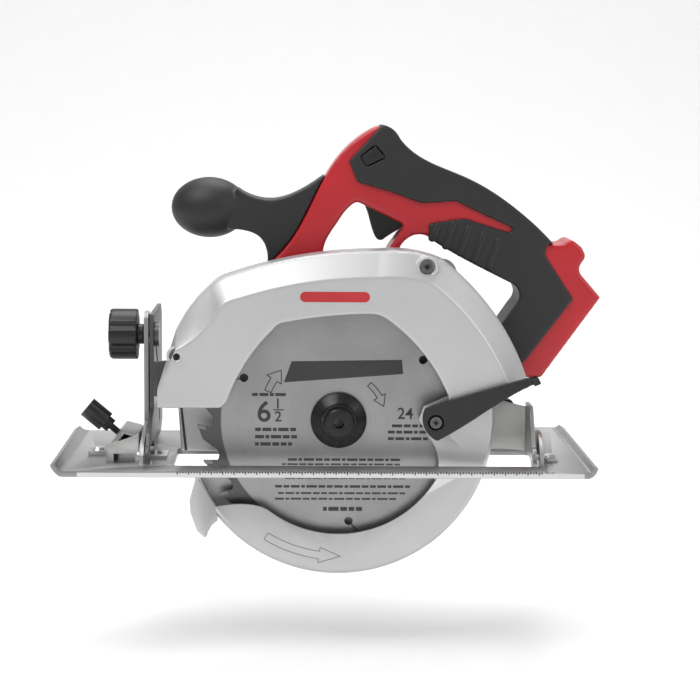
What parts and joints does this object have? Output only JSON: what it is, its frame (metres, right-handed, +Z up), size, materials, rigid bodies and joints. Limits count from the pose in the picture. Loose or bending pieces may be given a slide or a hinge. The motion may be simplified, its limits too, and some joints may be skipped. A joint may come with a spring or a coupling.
{
  "type": "cordless circular saw",
  "caption": "Cordless circular saw with a toothed blade under upper and lower guards, a tilting and dropping shoe, a loop rear handle with a trigger, and a knobbed front handle",
  "frame": {"origin": "the middle of the shoe's underside, on the surface of the work at full depth and zero bevel", "axes": "+X to the rear of the saw, +Y from the blade side to the motor side, along the blade's axis, +Z up"},
  "size_m": [0.3202, 0.167, 0.2612],
  "materials": {
    "blade_steel": "brushed",
    "carbide": "ground",
    "black_steel": "black oxide",
    "machined_steel": "machined",
    "laminations": "plain",
    "copper": "plain",
    "cast_magnesium": "silver paint",
    "guard_metal": "satin",
    "black_plastic": "textured",
    "red_plastic": "satin",
    "soft_grip": "soft touch",
    "sheet_steel": "zinc plated",
    "shoe_metal": "satin"
  },
  "bodies": {
    "housing": {"armature_front_bearing": "machined_steel", "armature_rear_bearing": "machined_steel", "battery_contacts": "copper", "battery_mount": "black_plastic", "brush_caps": "black_plastic", "brush_holders": "copper", "brushes": "copper", "cover_screws": "black_steel", "depth_clamp_bolt": "black_steel", "depth_pivot_pin": "machined_steel", "front_handle": "soft_grip", "gearcase": "cast_magnesium", "grip_overmould": "soft_grip", "guard_cover": "cast_magnesium", "guard_retaining_ring": "machined_steel", "guard_spring": "machined_steel", "handle_left": "red_plastic", "handle_right": "red_plastic", "handle_screws": "black_steel", "magnets": "laminations", "motor_can": "machined_steel", "motor_end_cap": "black_plastic", "motor_housing": "red_plastic", "spindle_front_bearing": "machined_steel", "spindle_rear_bearing": "machined_steel", "switch_body": "black_plastic", "terminal_block": "black_plastic", "upper_guard": "cast_magnesium"},
    "blade": {"blade": "blade_steel", "carbide_tips": "carbide", "inner_flange": "machined_steel", "outer_flange": "black_steel", "blade_bolt": "black_steel", "spindle": "machined_steel", "spindle_gear": "machined_steel"},
    "armature": {"armature_shaft": "machined_steel", "pinion": "machined_steel", "armature_core": "laminations", "windings": "copper", "commutator": "copper", "fan": "black_plastic"},
    "lower_guard": {"lower_guard": "guard_metal", "guard_lever": "black_plastic", "lever_screw": "black_steel"},
    "trigger": {"trigger": "black_plastic"},
    "lock_off_button": {"lock_off_button": "black_plastic"},
    "spindle_lock_button": {"spindle_lock_button": "black_plastic"},
    "depth_lever": {"depth_lever": "black_plastic"},
    "depth_frame": {"front_bracket": "sheet_steel", "depth_link": "sheet_steel", "bevel_pins": "machined_steel"},
    "shoe": {"shoe": "shoe_metal", "front_upright": "sheet_steel", "bevel_bolt": "black_steel", "rear_pivot_bracket": "sheet_steel", "fence_bracket": "sheet_steel", "shoe_rivets": "machined_steel"},
    "bevel_knob": {"bevel_knob": "black_plastic"},
    "fence_knob": {"fence_knob": "black_plastic"}
  },
  "joints": [
    {"name": "blade_spin", "type": "hinge", "parent": "housing", "child": "blade", "pos_m": [0.008, -0.037, 0.027], "axis": [0, 1, 0], "continuous": true},
    {"name": "armature_spin", "type": "hinge", "parent": "housing", "child": "armature", "pos_m": [0.01394, 0.04, 0.04917], "axis": [0, 1, 0], "continuous": true},
    {"name": "guard_swing", "type": "hinge", "parent": "housing", "child": "lower_guard", "pos_m": [0.008, -0.037, 0.027], "axis": [0, -1, 0], "range_deg": [0, 120], "stiffness_Nm_per_rad": 0.1, "springref_deg": -85.94},
    {"name": "trigger_pull", "type": "slide", "parent": "housing", "child": "trigger", "axis": [0.4372, 0, 0.8994], "range_m": [0, 0.005], "stiffness_N_per_m": 600, "springref_m": -0.004},
    {"name": "lock_off_slide", "type": "slide", "parent": "housing", "child": "lock_off_button", "axis": [0, 1, 0], "range_m": [-0.003, 0.003], "stiffness_N_per_m": 400},
    {"name": "spindle_lock_press", "type": "slide", "parent": "housing", "child": "spindle_lock_button", "axis": [1, 0, 0], "range_m": [0, 0.003], "stiffness_N_per_m": 400, "springref_m": -0.004},
    {"name": "depth_lever_turn", "type": "hinge", "parent": "housing", "child": "depth_lever", "pos_m": [0.07843, -0.01, 0.02065], "axis": [0, 1, 0], "range_deg": [0, 30]},
    {"name": "depth_swing", "type": "hinge", "parent": "housing", "child": "depth_frame", "pos_m": [-0.088, -0.015, 0.05], "axis": [0, 1, 0], "range_deg": [0, 28]},
    {"name": "bevel_tilt", "type": "hinge", "parent": "depth_frame", "child": "shoe", "pos_m": [0, -0.05, 0.0075], "axis": [1, 0, 0], "range_deg": [-50, 0]},
    {"name": "bevel_knob_turn", "type": "hinge", "parent": "shoe", "child": "bevel_knob", "pos_m": [-0.119, -0.01, 0.0735], "axis": [1, 0, 0], "range_deg": [-180, 180]},
    {"name": "fence_knob_turn", "type": "hinge", "parent": "shoe", "child": "fence_knob", "pos_m": [-0.1399, -0.021, 0.0315], "axis": [0.7682, 0, -0.6402], "range_deg": [-180, 180]}
  ],
  "couplings": [
    {"joint": "armature_spin", "follows": "blade_spin", "ratio": -4.1}
  ]
}
